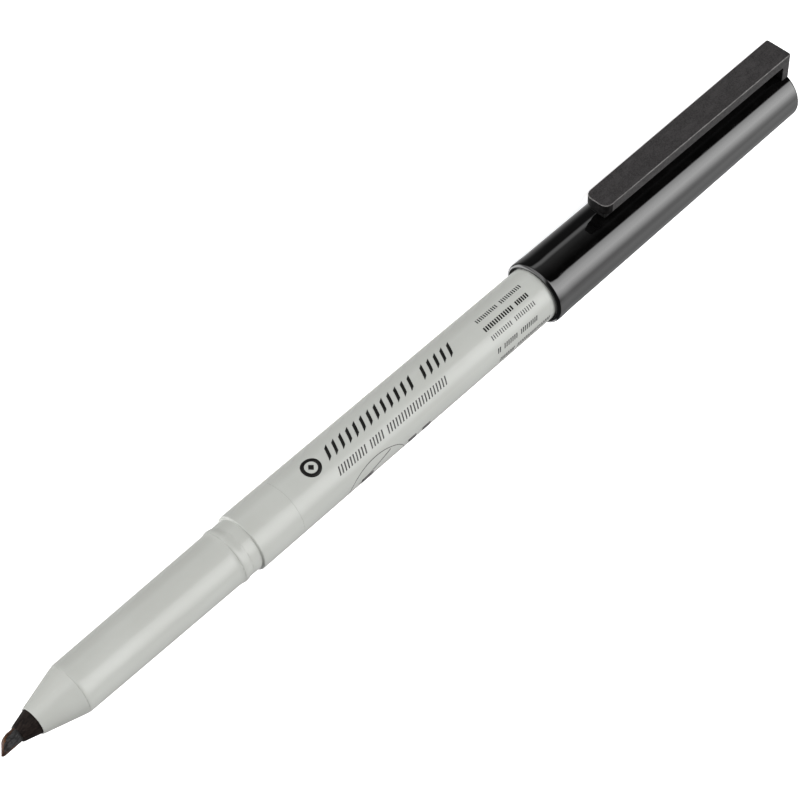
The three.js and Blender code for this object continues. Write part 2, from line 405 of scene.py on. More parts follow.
def grip_section():
    g, c = GRIP, COLLAR
    return turned("grip_moulding", [
        corner(g["front"], g["throat"], soft=0.04),
        corner(g["front"], g["front_radius"], soft=0.09),
        corner(g["cone_end"], g["cone_radius"], soft=0.3),
        corner(g["shoulder"], g["radius"], soft=0.3),
        corner(g["ridge_start"], g["rear_radius"], soft=0.7),
        corner(g["ridge"], g["ridge_radius"], soft=0.6),
        corner(g["ridge_end"], g["rear_radius"], soft=0.5),
        corner(g["groove_start"], g["groove_radius"], soft=0.3),
        corner(g["groove_end"], g["groove_radius"], soft=0.05),
        corner(c["front"], c["radius"] - c["chamfer"], soft=0.03),
        corner(c["front"] + c["chamfer"], c["radius"], soft=0.05),
        corner(c["end"], c["end_radius"], soft=0.015),
        corner(c["end"], SPIGOT["radius"], soft=0.05),
        corner(SPIGOT["end"], SPIGOT["radius"], soft=0.2),
        corner(SPIGOT["end"], g["bore"], soft=0.1),
        corner(g["bore_start"], g["bore"], soft=0.1),
        corner(g["throat_end"], g["throat"], soft=0.1),
    ], closed=True)


# ---- body and ink ----

def barrel_radius(station):
    """Outside radius of the barrel between its front and the cap's mouth."""
    t = (station - BARREL["front"]) / (CAP["mouth"] - BARREL["front"])
    return BARREL["front_radius"] + (BARREL["mouth_radius"] - BARREL["front_radius"]) * t


def barrel():
    b = BARREL
    floor = b["end"] - b["wall"]
    return turned("barrel_tube", [
        corner(floor, 0),
        corner(floor, b["bore_rear"], soft=0.3),
        corner(b["front"], b["bore_front"], soft=0.05),
        corner(b["front"], b["front_radius"], soft=0.015),
        corner(CAP["mouth"], b["mouth_radius"]),
        corner(b["end"] - b["tail_edge"], b["tail_radius"], soft=0.4),
        corner(b["end"], b["tail_radius"] - b["tail_edge"], soft=0.4),
        corner(b["end"], 0),
    ])


def strand_height(station, angle):
    """Height of the bundle's strands, which wander slowly round it."""
    n = STRANDS
    return n["height"] * math.sin(angle * n["count"] + n["wander"] * math.sin(station * n["pace"]))


def ink_reservoir():
    """Fibre bundle with a socket for the nib's shank."""
    r = RESERVOIR
    bundle = [
        corner(r["socket_end"], 0),
        corner(r["socket_end"], r["socket_radius"], soft=0.1),
        corner(r["front"], r["socket_radius"], soft=0.1),
        corner(r["front"], r["radius"], soft=0.2),
    ]
    for k in range(1, r["rings"]):
        bundle.append(corner(r["front"] + (r["end"] - r["front"]) * k / r["rings"], r["radius"]))
    bundle += [corner(r["end"], r["radius"], soft=0.2), corner(r["end"], 0)]
    return turned("ink_fibre_rod", bundle, wobble=strand_height)


def reservoir_sleeve():
    return turned("ink_rod_wrap", [
        corner(RESERVOIR["front"], SLEEVE["inner"], soft=0.03),
        corner(RESERVOIR["front"], SLEEVE["outer"], soft=0.03),
        corner(RESERVOIR["end"], SLEEVE["outer"], soft=0.03),
        corner(RESERVOIR["end"], SLEEVE["inner"], soft=0.03),
    ], closed=True)


# ---- cap ----

def cap_shell():
    c = CAP
    floor = PEN_LENGTH - c["end_wall"]
    bead = c["bead_radius"] - c["lip_radius"]
    edge = c["end_edge"]
    return turned("cap_body", [
        corner(floor, 0),
        corner(floor, c["bore_end"], soft=0.3),
        corner(c["bevel"], c["bore_mouth"], soft=0.2),
        corner(c["mouth"] + c["bevel_inset"], c["bevel_radius"], soft=0.03),
        *quarter(c["mouth"] + bead, c["lip_radius"], bead, -90, 0),
        corner(c["bead_end"], c["bead_radius"], soft=0.6),
        corner(c["neck"], c["neck_radius"], soft=0.8),
        *quarter(PEN_LENGTH - edge, c["end_radius"] - edge, edge, 0, 90),
        corner(PEN_LENGTH, 0),
    ])


def inner_cap():
    n = LINER
    end = PEN_LENGTH - CAP["end_wall"] - n["gap"]
    floor = end - n["wall"]
    return turned("cap_liner", [
        corner(floor, 0),
        corner(floor, n["inner"], soft=0.3),
        corner(n["mouth"] + n["lip"], n["inner"], soft=0.1),
        corner(n["mouth"], n["inner"] + n["lip"], soft=0.06),
        corner(n["mouth"], n["outer"], soft=0.08),
        corner(end, n["outer"], soft=0.2),
        corner(end, 0),
    ])


def arm_side():
    """Outline of the clip's arm and leg from the side, station and height."""
    c = CLIP
    underside = c["top"] - c["thickness"]
    leg_front = PEN_LENGTH - c["leg"]
    fillet = c["fillet"]
    return [
        Vector((c["tip"], c["top"])),
        Vector((c["tip"], underside)),
        *bend((leg_front - fillet, underside), (leg_front, underside), (leg_front, underside - fillet)),
        Vector((leg_front, 0)),
        Vector((PEN_LENGTH, 0)),
        Vector((PEN_LENGTH, c["top"])),
    ]


def nub_side():
    """Outline of the nub under the clip's free end, up to the middle of the arm."""
    n = NUB
    underside = CLIP["top"] - CLIP["thickness"]
    in_arm = underside + CLIP["thickness"] / 2
    front = CLIP["tip"] + n["inset"]
    end = front + n["length"]
    ease = n["ease"]
    slope = (underside - n["bottom"]) / n["ramp"] * ease
    return [
        Vector((front, in_arm)),
        *bend((front, n["bottom"] + n["nose"]), (front, n["bottom"]), (front + n["nose"], n["bottom"])),
        *bend((end - ease, n["bottom"]), (end, n["bottom"]), (end + ease, n["bottom"] + slope)),
        Vector((end + n["ramp"], underside)),
        Vector((end + n["ramp"], in_arm)),
    ]


def clip_plan():
    """Outline of the clip from above, station and side."""
    c = CLIP
    near, half, r = c["tip"] + c["tip_corner"], c["tip_half"], c["tip_corner"]
    root, soft = c["root_half"], c["root_corner"]
    return [
        *bend((PEN_LENGTH - soft, -root), (PEN_LENGTH, -root), (PEN_LENGTH, soft - root)),
        *bend((PEN_LENGTH, root - soft), (PEN_LENGTH, root), (PEN_LENGTH - soft, root)),
        *bend((near, half), (c["tip"], half), (c["tip"], half - r)),
        *bend((c["tip"], r - half), (c["tip"], -half), (near, -half)),
    ]


CLIP_HIGHLIGHT_SLOT = 1  # the clip's paler material for its top outline, a painted highlight
CLIP_SHADE_SLOT = 2  # and its darker material, a painted shade, for the nub and for what looks toward the nib
LOOKS_AHEAD = -0.1  # a face looks toward the nib when its normal is below this along the pen
UNDER_ARM = 0.02  # how far below the arm a face of the nub starts


def round_top_edges(mesh):
    """Rounds the outline of the clip's top. The new faces take the edge material, painted paler as a
    highlight.
    """
    bm = bmesh.new()
    bm.from_mesh(mesh)
    level = CLIP["top"] - LEVEL
    outline = [e for e in bm.edges
               if min(v.co.z for v in e.verts) > level and e.calc_face_angle(0.0) > CLIP_SHARP]
    bmesh.ops.bevel(bm, geom=outline, offset=CLIP["edge"], offset_type="OFFSET",
                    segments=EDGE_STEPS, profile=0.5, affect="EDGES", clamp_overlap=True,
                    material=CLIP_HIGHLIGHT_SLOT)
    bm.to_mesh(mesh)
    bm.free()


def paint_shade_on_front_faces(mesh):
    """Paints shade: gives the darker material to the nub and to the faces that look toward the nib."""
    underside = CLIP["top"] - CLIP["thickness"]
    nub_end = CLIP["tip"] + NUB["inset"] + NUB["length"] + NUB["ramp"]
    for face in mesh.polygons:
        looks_ahead = face.normal.x < LOOKS_AHEAD
        on_nub = face.center.x < nub_end and face.center.z < underside - UNDER_ARM
        if face.material_index == 0 and (looks_ahead or on_nub):
            face.material_index = CLIP_SHADE_SLOT


def clip():
    """Arm, leg and nub in one piece."""
    c = CLIP
    solid = prism(arm_side(), "Y", c["tip_half"] + OVERCUT)
    plan = prism(clip_plan(), "Z", c["top"] + OVERCUT)
    nub = prism(nub_side(), "Y", NUB["half"])
    start, stop = PEN_LENGTH - c["leg"] - OVERCUT, PEN_LENGTH + OVERCUT
    cap_round = cylinder_along_pen(start, stop, CAP["end_radius"] + c["gap"])
    cut(solid, plan, "INTERSECT")
    cut(solid, cap_round, "DIFFERENCE")
    cut(solid, nub, "UNION")
    for material in (clip_black(), clip_edge_highlight(), clip_front_shade()):
        solid.data.materials.append(material)
    mesh = applied(solid, [plan, cap_round, nub])
    round_top_edges(mesh)
    paint_shade_on_front_faces(mesh)
    piece = place(mesh, "pocket_clip")
    bevel = piece.modifiers.new("edges", "BEVEL")
    bevel.width = c["edge"] * MM
    bevel.segments = EDGE_STEPS
    bevel.limit_method = "ANGLE"
    bevel.angle_limit = CLIP_SHARP
    bevel.use_clamp_overlap = True
    weighted = piece.modifiers.new("normals", "WEIGHTED_NORMAL")
    weighted.weight = FACE_WEIGHT
    return piece


# ---- print on the barrel: plain marks, with no lettering ----

PRINT_LIFT = 0.012  # height of the ink over the barrel
PRINT_ROOT = 0.03  # how far a mark reaches into the barrel
PRINT_GRID = 0.28  # widest piece of a mark round the barrel
PATH_STEP = 0.5  # longest piece of a mark along its path
RING_STEPS = 60  # pieces in an oval band
LOZENGE_STEPS = 4  # pieces in half of a lozenge
LOZENGE_END = 0.02  # degrees of half height left at its ends
TICK_GAP = 0.62  # between the groups of a row

# Marks by station in millimetres and turn in degrees from the clip. Sizes go (along the pen, round it), and
# edge is half of a stroke's edge.
EMBLEM = dict(centre=(59.25, 6.3), ring=(1.30, 15.8), band=0.6, lozenge=(0.55, 7.0))
HEADING = dict(start=62.75, pitch=1.42, low=-7.4, high=17.4, lean=0.44, edge=(0.37, -2.6), groups=(13, 5),
               gap=1.3)
SECOND_LINE = dict(row=(61.9, 84.6), turn=44.5, half_height=7.8, groups=(6, 3, 13), width=0.24, pitch=0.60,
                   lean=0.22)
NOTE_ROWS = [
    dict(row=(94.4, 104.2), turn=-1.2, half_height=4.2, groups=(5, 5), width=0.19, pitch=0.43, lean=0.0),
    dict(row=(94.3, 103.9), turn=21.3, half_height=4.8, groups=(7, 3), width=0.28, pitch=0.47, lean=0.0),
    dict(row=(94.4, 103.3), turn=71.0, half_height=5.0, groups=(1, 4, 5), width=0.19, pitch=0.43, lean=0.14),
    dict(row=(94.6, 105.8), turn=96.0, half_height=5.0, groups=(4, 9), width=0.19, pitch=0.43, lean=0.14),
]
LIGHT_ROW = dict(row=(94.4, 104.0), turn=42.4, half_height=4.6, groups=(5, 5), width=0.17, pitch=0.43,
                 lean=0.0)
OVAL = dict(centre=(68.3, 112.0), size=(5.7, 43.0), line=0.11)
OVAL_STROKE = dict(start=(64.4, 104.0), stop=(71.2, 79.0), edge=(0.055, 0.6))
OVAL_SAMPLE = dict(start=(65.2, 112.0), stop=(67.6, 112.0), edge=(0.1, 15.0))
OVAL_BLOCKS = dict(starts=(74.9, 77.9), length=1.7, turn=108.0, edge=(0.1, 11.0))


def on_barrel(station, turn, lift):
    """Point on the barrel. turn is in degrees from the clip toward the pen's upper side."""
    radius = barrel_radius(station) + lift
    angle = math.radians(turn)
    return station, -radius * math.sin(angle), radius * math.cos(angle)


def stroke(bm, path, offset):
    """Mark swept along a path of (station, turn) by an edge that keeps its direction.

    offset is half of the edge, in station and degrees.
    """
    arc = 2 * math.radians(abs(offset[1])) * BARREL["front_radius"]
    columns = max(1, math.ceil(arc / PRINT_GRID))
    layers = []
    for lift in (PRINT_LIFT, -PRINT_ROOT):
        rows = []
        for station, turn in path:
            row = []
            for k in range(columns + 1):
                t = 2 * k / columns - 1
                point = on_barrel(station + offset[0] * t, turn + offset[1] * t, lift)
                row.append(bm.verts.new(point))
            rows.append(row)
        layers.append(rows)
    wall(bm, *layers)


def wall(bm, top, bottom):
    """Closes a thin slab between two grids of vertices."""
    columns = len(top[0]) - 1
    for rows in (top, bottom):
        for a, b in zip(rows, rows[1:]):
            for k in range(columns):
                bm.faces.new((a[k], a[k + 1], b[k + 1], b[k]))
    for end in (0, -1):
        for k in range(columns):
            bm.faces.new((top[end][k], top[end][k + 1], bottom[end][k + 1], bottom[end][k]))
    for side in (0, -1):
        for a, b, c, d in zip(top, top[1:], bottom[1:], bottom):
            bm.faces.new((a[side], b[side], c[side], d[side]))


def straight(a, b):
    """Path between two (station, turn) points."""
    a, b = Vector(a), Vector(b)
    span = math.hypot(b.x - a.x, math.radians(b.y - a.y) * BARREL["front_radius"])
    count = max(1, math.ceil(span / PATH_STEP))
    return [tuple(a.lerp(b, k / count)) for k in range(count + 1)]


def ring_band(bm, centre, size, width):
    """Band round an oval. size is (half length in mm, half height in degrees)."""
    degrees_per_mm = math.degrees(1 / BARREL["front_radius"])
    corners = ((PRINT_LIFT, -0.5), (PRINT_LIFT, 0.5), (-PRINT_ROOT, 0.5), (-PRINT_ROOT, -0.5))
    rows = []
    for k in range(RING_STEPS):
        angle = math.radians(360 * k / RING_STEPS)
        row = []
        for lift, grow in corners:
            station = centre[0] + (size[0] + grow * width) * math.cos(angle)
            turn = centre[1] + (size[1] + grow * width * degrees_per_mm) * math.sin(angle)
            row.append(bm.verts.new(on_barrel(station, turn, lift)))
        rows.append(row)
    for a, b in zip(rows, rows[1:] + rows[:1]):
        join_rings(bm, a, b)


def emblem():
    """Plain heavy ring with a lozenge in it."""
    bm = bmesh.new()
    ring_band(bm, EMBLEM["centre"], EMBLEM["ring"], EMBLEM["band"])
    lozenge(bm, EMBLEM["centre"], EMBLEM["lozenge"])
    return finish_mesh(bm, "print_emblem")


def lozenge(bm, centre, size):
    """Filled mark with four corners. size is (half length in mm, half height in degrees)."""
    station, turn = centre
    half, rise = size
    layers = []
    for lift in (PRINT_LIFT, -PRINT_ROOT):
        rows = []
        for k in range(2 * LOZENGE_STEPS + 1):
            x = station - half + half * k / LOZENGE_STEPS
            reach = rise * (1 - abs(k / LOZENGE_STEPS - 1)) + LOZENGE_END
            rows.append([bm.verts.new(on_barrel(x, turn + reach * side, lift)) for side in (-1, 0, 1)])
        layers.append(rows)
    wall(bm, *layers)


def heading_marks():
    """Plain heavy leaning bars, in two groups."""
    bm = bmesh.new()
    h = HEADING
    station = h["start"]
    for group in h["groups"]:
        for k in range(group):
            x = station + k * h["pitch"]
            stroke(bm, straight((x + h["lean"], h["low"]), (x - h["lean"], h["high"])), h["edge"])
        station += group * h["pitch"] + h["gap"]
    return finish_mesh(bm, "print_heading")


def ticks(bm, row, turn, half_height, groups, width, pitch, lean):
    """Row of even leaning ticks. groups are their shares of the row, with a gap after each."""
    start, stop = row
    room = stop - start - TICK_GAP * (len(groups) - 1)
    x = start
    for share in groups:
        length = room * share / sum(groups)
        count = max(2, round(length / pitch))
        for k in range(count):
            station = x + length * (k + 0.5) / count
            top = (station + lean, turn - half_height)
            bottom = (station - lean, turn + half_height)
            stroke(bm, straight(top, bottom), (width / 2, 0.0))
        x += length + TICK_GAP


def tick_rows(name, rows):
    """Rows of ticks in one piece."""
    bm = bmesh.new()
    for row in rows:
        ticks(bm, **row)
    return finish_mesh(bm, name)


def size_oval():
    """Thin oval with a fine stroke and a wide one in it, and two blocks beside it."""
    bm = bmesh.new()
    ring_band(bm, OVAL["centre"], OVAL["size"], OVAL["line"])
    for mark in (OVAL_STROKE, OVAL_SAMPLE):
        stroke(bm, straight(mark["start"], mark["stop"]), mark["edge"])
    b = OVAL_BLOCKS
    for x in b["starts"]:
        stroke(bm, straight((x, b["turn"]), (x + b["length"], b["turn"])), b["edge"])
    return finish_mesh(bm, "print_size_oval")


# ---- materials ----

# Linear colours, the darkest first.
GRIP_GREY = (0.505, 0.514, 0.484), (0.530, 0.541, 0.511)
BARREL_GREY = (0.508, 0.518, 0.489), (0.534, 0.545, 0.516)
CAP_TONES = (0.0012, 0.0011, 0.0011), (0.0032, 0.003, 0.003)
CAP_RUBBED = (0.012, 0.012, 0.0125)
CLIP_TONES = (0.018, 0.0165, 0.017), (0.050, 0.047, 0.0475)
CLIP_SPOTS = (0.056, 0.0525, 0.053)
# Painted highlight along the clip's top edges.
CLIP_EDGE_HIGHLIGHT_TONES = (0.085, 0.080, 0.078), (0.200, 0.192, 0.188)
# Painted shade on the clip's nub and on its faces that look toward the nib.
CLIP_FRONT_SHADE_TONES = (0.004, 0.0038, 0.0038), (0.012, 0.0115, 0.0115)
HOLDER_TONES = (0.005, 0.0033, 0.003), (0.018, 0.0125, 0.0105)
HOLDER_SPOTS = (0.032, 0.024, 0.021)
HOLDER_RIM = (0.12, 0.116, 0.112)
NIB_TONES = (0.0035, 0.003, 0.003), (0.042, 0.042, 0.043)
NIB_STRANDS = (0.048, 0.047, 0.048)
NIB_WORN = (0.022, 0.009, 0.005), (0.100, 0.043, 0.018)
RESERVOIR_TONES = (0.008, 0.008, 0.010), (0.035, 0.034, 0.040)
FILM_TONES = (0.74, 0.76, 0.76), (0.82, 0.83, 0.83)
LINER_TONES = (0.55, 0.56, 0.54), (0.64, 0.65, 0.63)
PRINT_BLACK = (0.006, 0.0055, 0.005), (0.08, 0.08, 0.08)
PRINT_GREY = (0.075, 0.072, 0.072), (0.22, 0.22, 0.22)

# Parts of a noise's range over which an effect comes in.
WIDE = (0.3, 0.7)
HIGH = (0.35, 0.7)
NARROW = (0.35, 0.65)


class Nodes:
    """A node tree that is built up from small steps."""

    def __init__(self, owner):
        owner.use_nodes = True
        self.tree = owner.node_tree
        self.tree.nodes.clear()

    def add(self, kind, inputs=None, **settings):
        node = self.tree.nodes.new(kind)
        for key, value in settings.items():
            setattr(node, key, value)
        for key, value in (inputs or {}).items():
            node.inputs[key].default_value = value
        return node

    def join(self, source, target):
        self.tree.links.new(source, target)


class Finish(Nodes):
    """A surface material."""

    def __init__(self, name, roughness, specular=0.5, ior=1.5):
        self.material = bpy.data.materials.new(name)
        super().__init__(self.material)
        self.shader = self.add("ShaderNodeBsdfPrincipled", {
            "Roughness": roughness, "Specular IOR Level": specular, "IOR": ior})
        output = self.add("ShaderNodeOutputMaterial")
        self.join(self.shader.outputs["BSDF"], output.inputs["Surface"])
        self.place = self.add("ShaderNodeTexCoord").outputs["Object"]
        self.bump = None

    def stretched(self, along, across):
        """Coordinates scaled by features per millimetre along the pen and across it."""
        mapping = self.add("ShaderNodeMapping", {"Scale": (along / MM, across / MM, across / MM)})
        self.join(self.place, mapping.inputs["Vector"])
        return mapping.outputs["Vector"]

    def noise(self, along, across=None, detail=4.0, roughness=0.5):
        """Noise between 0 and 1. along and across are features per millimetre."""
        node = self.add("ShaderNodeTexNoise", {"Scale": 1.0, "Detail": detail, "Roughness": roughness})
        self.join(self.stretched(along, across or along), node.inputs["Vector"])
        return node.outputs["Fac"]

    def cells(self, along, across=None):
        """Distance from the middle of the nearest cell, for pits."""
        node = self.add("ShaderNodeTexVoronoi", {"Scale": 1.0})
        self.join(self.stretched(along, across or along), node.inputs["Vector"])
        return node.outputs["Distance"]

    def span(self, value, low, high, to_low=0.0, to_high=1.0):
        """Takes a value smoothly from the range low to high into the range to_low to to_high."""
        node = self.add("ShaderNodeMapRange", {
            "From Min": low, "From Max": high, "To Min": to_low, "To Max": to_high},
            interpolation_type="SMOOTHSTEP")
        self.join(value, node.inputs["Value"])
        return node.outputs["Result"]

    def mixed(self, share, a, b):
        """Colour between a and b. Each is a colour or the output of another step."""
        node = self.add("ShaderNodeMix", data_type="RGBA")
        self.join(share, node.inputs["Factor"])
        for socket, value in ((node.inputs[6], a), (node.inputs[7], b)):
            if isinstance(value, tuple):
                socket.default_value = (*value, 1.0)
            else:
                self.join(value, socket)
        return node.outputs[2]

    def edges(self, low, high):
        """1 along outward edges, 0 on flat faces. low and high are limits of pointiness."""
        geometry = self.add("ShaderNodeNewGeometry")
        return self.span(geometry.outputs["Pointiness"], low, high)

    def colour(self, value):
        self.join(value, self.shader.inputs["Base Color"])

    def gloss(self, smears, low, high, part=WIDE):
        """Roughness from low to high over a part of a noise's range."""
        self.join(self.span(smears, *part, low, high), self.shader.inputs["Roughness"])

    def two_tone(self, patches, part, tones, smears, gloss):
        """Patches of two tones over a part of their noise's range, and a gloss that varies by smears."""
        self.colour(self.mixed(self.span(self.noise(*patches), *part), *tones))
        self.gloss(self.noise(*smears), *gloss)

    def raise_by(self, height, depth_mm):
        """Adds a height, stacked on the ones before."""
        node = self.add("ShaderNodeBump", {"Strength": 1.0, "Distance": depth_mm * MM})
        self.join(height, node.inputs["Height"])
        if self.bump:
            self.join(self.bump, node.inputs["Normal"])
        self.bump = node.outputs["Normal"]
        self.join(self.bump, self.shader.inputs["Normal"])


def scaled(colour, factor):
    return tuple(min(c * factor, 1) for c in colour)


def pale_plastic(name, deep, light, roughness):
    """Moulded pale grey: slight mottling, long drag lines, handling smudges and a fine grain."""
    f = Finish(name, roughness)
    mottling = f.noise(0.10, 0.16, detail=2.0)
    dust = f.noise(0.9, 1.3, detail=6.0, roughness=0.65)
    drag = f.noise(0.02, 2.4, detail=2.0)
    smudges = f.noise(0.25, 0.5, detail=5.0, roughness=0.6)
    grain = f.noise(9.0, detail=2.0)
    scratches = f.noise(0.06, 6.0, detail=2.0)
    tone = f.mixed(f.span(mottling, *WIDE), deep, light)
    tone = f.mixed(f.span(dust, 0.60, 0.85, to_high=0.25), tone, scaled(deep, 0.95))
    f.colour(f.mixed(f.span(drag, 0.60, 0.75, to_high=0.3), tone, scaled(light, 1.04)))
    f.gloss(smudges, roughness - 0.03, roughness + 0.04)
    f.raise_by(grain, 0.0022)
    f.raise_by(f.span(scratches, 0.66, 0.72), 0.0015)
    return f.material


def cap_black():
    """Polished black: hairline scratches, smudges, a faint moulding wave and pale rubbed edges."""
    f = Finish("cap_polished_black", 0.07, specular=0.75, ior=1.62)
    mottling = f.noise(0.4, 0.8)
    smudges = f.noise(0.35, 0.6, detail=6.0, roughness=0.6)
    wave = f.noise(0.02, 0.4, detail=1.0)
    scratches = f.noise(0.25, 16.0, detail=2.0)
    ripple = f.noise(2.5, detail=2.0)
    tone = f.mixed(f.span(mottling, 0.4, 0.7), *CAP_TONES)
    f.colour(f.mixed(f.edges(0.56, 0.7), tone, CAP_RUBBED))
    f.gloss(smudges, 0.05, 0.11, part=(0.45, 0.75))
    f.raise_by(wave, 0.003)
    f.raise_by(f.span(scratches, 0.68, 0.74), 0.0006)
    f.raise_by(ripple, 0.0005)
    return f.material


def clip_black():
    """Spark-eroded matte black: fine pits, mottling and pale rubbed spots."""
    f = Finish("clip_textured_black", 0.5, specular=0.32)
    grain = f.noise(5.0, roughness=0.7)
    spots = f.noise(0.35, 0.9, detail=5.0, roughness=0.7)
    tone = f.mixed(f.span(grain, 0.33, 0.68), *CLIP_TONES)
    f.colour(f.mixed(f.span(spots, 0.42, 0.72, to_high=0.7), tone, CLIP_SPOTS))
    f.gloss(f.noise(2.0), 0.42, 0.6)
    f.raise_by(grain, 0.020)
    f.raise_by(f.cells(6.0), 0.012)
    return f.material


def clip_edge_highlight():
    """The clip's edges, smoother than its faces and painted paler as a highlight."""
    f = Finish("clip_edge_painted_highlight", 0.35)
    f.two_tone((0.8, 2.5, 5.0, 0.6), HIGH, CLIP_EDGE_HIGHLIGHT_TONES, smears=(1.5, 3.0), gloss=(0.28, 0.45))
    f.raise_by(f.noise(6.0, detail=3.0), 0.006)
    return f.material


def clip_front_shade():
    """Smoother black of the nub and of the faces that look toward the nib, darkened as a painted shade."""
    f = Finish("clip_painted_shade_black", 0.55, specular=0.05)
    f.two_tone((1.2,), HIGH, CLIP_FRONT_SHADE_TONES, smears=(1.5,), gloss=(0.45, 0.65))
    f.raise_by(f.noise(3.0, detail=3.0), 0.004)
    return f.material


def holder_black():
    """Satin brown-black with drag marks along it, and paler along its sharp rim edges."""
    f = Finish("holder_satin_black", 0.42, specular=0.13)
    drag = f.noise(0.35, 3.0, roughness=0.6)
    spots = f.noise(2.4, 3.2, roughness=0.6)
    tone = f.mixed(f.span(drag, 0.35, 0.68), *HOLDER_TONES)
    tone = f.mixed(f.span(spots, 0.52, 0.75, to_high=0.8), tone, HOLDER_SPOTS)
    f.colour(f.mixed(f.edges(0.54, 0.60), tone, HOLDER_RIM))
    f.gloss(f.noise(1.5, 3.0), 0.46, 0.62)
    f.raise_by(drag, 0.002)
    f.raise_by(f.noise(7.0, detail=3.0), 0.008)
    return f.material


def nib_fibre():
    """Pressed fibre soaked with ink: dark mottled grey, and brown where it is worn."""
    f = Finish("nib_inked_fibre", 0.72, specular=0.3)
    strands = f.noise(0.9, 7.0, detail=5.0, roughness=0.7)
    blotches = f.noise(1.7, 2.6, detail=5.0, roughness=0.65)
    tone = f.mixed(f.span(blotches, 0.40, 0.60), *NIB_TONES)
    tone = f.mixed(f.span(strands, *HIGH, to_high=0.5), tone, NIB_STRANDS)
    worn = f.mixed(f.span(f.noise(2.0, 3.0), *NARROW), *NIB_WORN)
    wear = f.add("ShaderNodeAttribute", attribute_name="worn").outputs["Fac"]
    ragged = f.add("ShaderNodeMath", operation="ADD")
    f.join(wear, ragged.inputs[0])
    f.join(f.span(f.noise(3.0, 5.0), 0.2, 0.8, -0.3, 0.3), ragged.inputs[1])
    f.colour(f.mixed(f.span(ragged.outputs[0], 0.35, 0.75), tone, worn))
    f.gloss(f.noise(3.0, 9.0), 0.55, 0.85)
    f.raise_by(strands, 0.05)
    f.raise_by(f.cells(7.0, 9.0), 0.035)
    return f.material


def reservoir_fibre():
    """Ink-soaked fibres along the bundle."""
    f = Finish("reservoir_inked_fibre", 0.9, specular=0.2)
    strands = f.noise(0.4, 14.0, roughness=0.7)
    f.colour(f.mixed(f.span(strands, *NARROW), *RESERVOIR_TONES))
    f.raise_by(strands, 0.05)
    return f.material


def sleeve_film():
    """Clear-white film with fine wrinkles."""
    f = Finish("sleeve_clear_film", 0.22)
    f.shader.inputs["Transmission Weight"].default_value = 0.35
    f.two_tone((0.3,), (0.4, 0.7), FILM_TONES, smears=(1.0,), gloss=(0.16, 0.3))
    f.raise_by(f.noise(0.2, 2.0, detail=2.0), 0.02)
    return f.material


def liner_grey():
    """Satin natural plastic with a fine grain."""
    f = Finish("liner_natural_grey", 0.42)
    f.two_tone((0.4,), HIGH, LINER_TONES, smears=(1.2,), gloss=(0.34, 0.5))
    f.raise_by(f.noise(6.0, detail=3.0), 0.006)
    return f.material


def ink(name, dark, pale):
    """Printed ink: small pinholes and uneven cover."""
    f = Finish(name, 0.45, specular=0.25)
    cover = f.mixed(f.span(f.noise(1.3), *HIGH), dark, scaled(dark, 1.4))
    f.colour(f.mixed(f.span(f.noise(14.0, detail=3.0), 0.68, 0.76), cover, pale))
    f.gloss(f.noise(4.0), 0.34, 0.52)
    f.raise_by(f.noise(12.0, detail=2.0), 0.004)
    return f.material


# ---- assembly ----

def build_pen():
    grip_grey = pale_plastic("grip_satin_grey", *GRIP_GREY, 0.20)
    barrel_grey = pale_plastic("barrel_satin_grey", *BARREL_GREY, 0.19)
    dress(chisel_nib(), [nib_fibre()], "pen", "nib_fibre", "chisel_nib")
    dress(nib_holder(), [holder_black()], "pen", "holder_black", "nib_holder")
    dress(grip_section(), [grip_grey], "pen", "grip_grey", "grip_section")
    dress(barrel(), [barrel_grey], "pen", "barrel_grey", "barrel")
    dress(ink_reservoir(), [reservoir_fibre()], "pen", "reservoir_fibre", "ink_reservoir")
    dress(reservoir_sleeve(), [sleeve_film()], "pen", "sleeve_film", "reservoir_sleeve")
    black = ink("print_ink_black", *PRINT_BLACK)
    light = ink("print_ink_grey", *PRINT_GREY)
    for piece in (emblem(), heading_marks(), tick_rows("print_note_rows", NOTE_ROWS)):
        dress(piece, [black], "pen", "barrel_grey")
    second_line = tick_rows("print_second_line", [SECOND_LINE])
    light_row = tick_rows("print_note_light", [LIGHT_ROW])
    for piece in (second_line, light_row, size_oval()):
        dress(piece, [light], "pen", "barrel_grey")


def build_cap():
    dress(cap_shell(), [cap_black()], "cap", "cap_black", "cap_shell")
    dress(inner_cap(), [liner_grey()], "cap", "liner_grey", "inner_cap")
    dress(clip(), [], "clip", "clip_black", "clip")


# ---- camera, light and floor ----

AXIS_ALONG = (PEN.to_3x3() @ Vector((1, 0, 0))).normalized()
CLIP_OUT = (PEN.to_3x3() @ Vector((0, 0, 1))).normalized()
CLIP_SIDE = (PEN.to_3x3() @ Vector((0, -1, 0))).normalized()


def round_pen(degrees):
    """Direction out from the pen's axis, turned from the clip toward the upper side."""
    angle = math.radians(degrees)
    return CLIP_OUT * math.cos(angle) + CLIP_SIDE * math.sin(angle)


NEAR = round_pen(VIEW_TURN)
UP = round_pen(VIEW_TURN + 90)

# Distances in millimetres, except near and far, which are in metres. Angles in degrees.
CAMERA = dict(station=78.75, below=0.886, distance=379.6, swing=25.5, roll=40.43, lens=117.0, sensor=36.0,
              near=0.01, far=50)


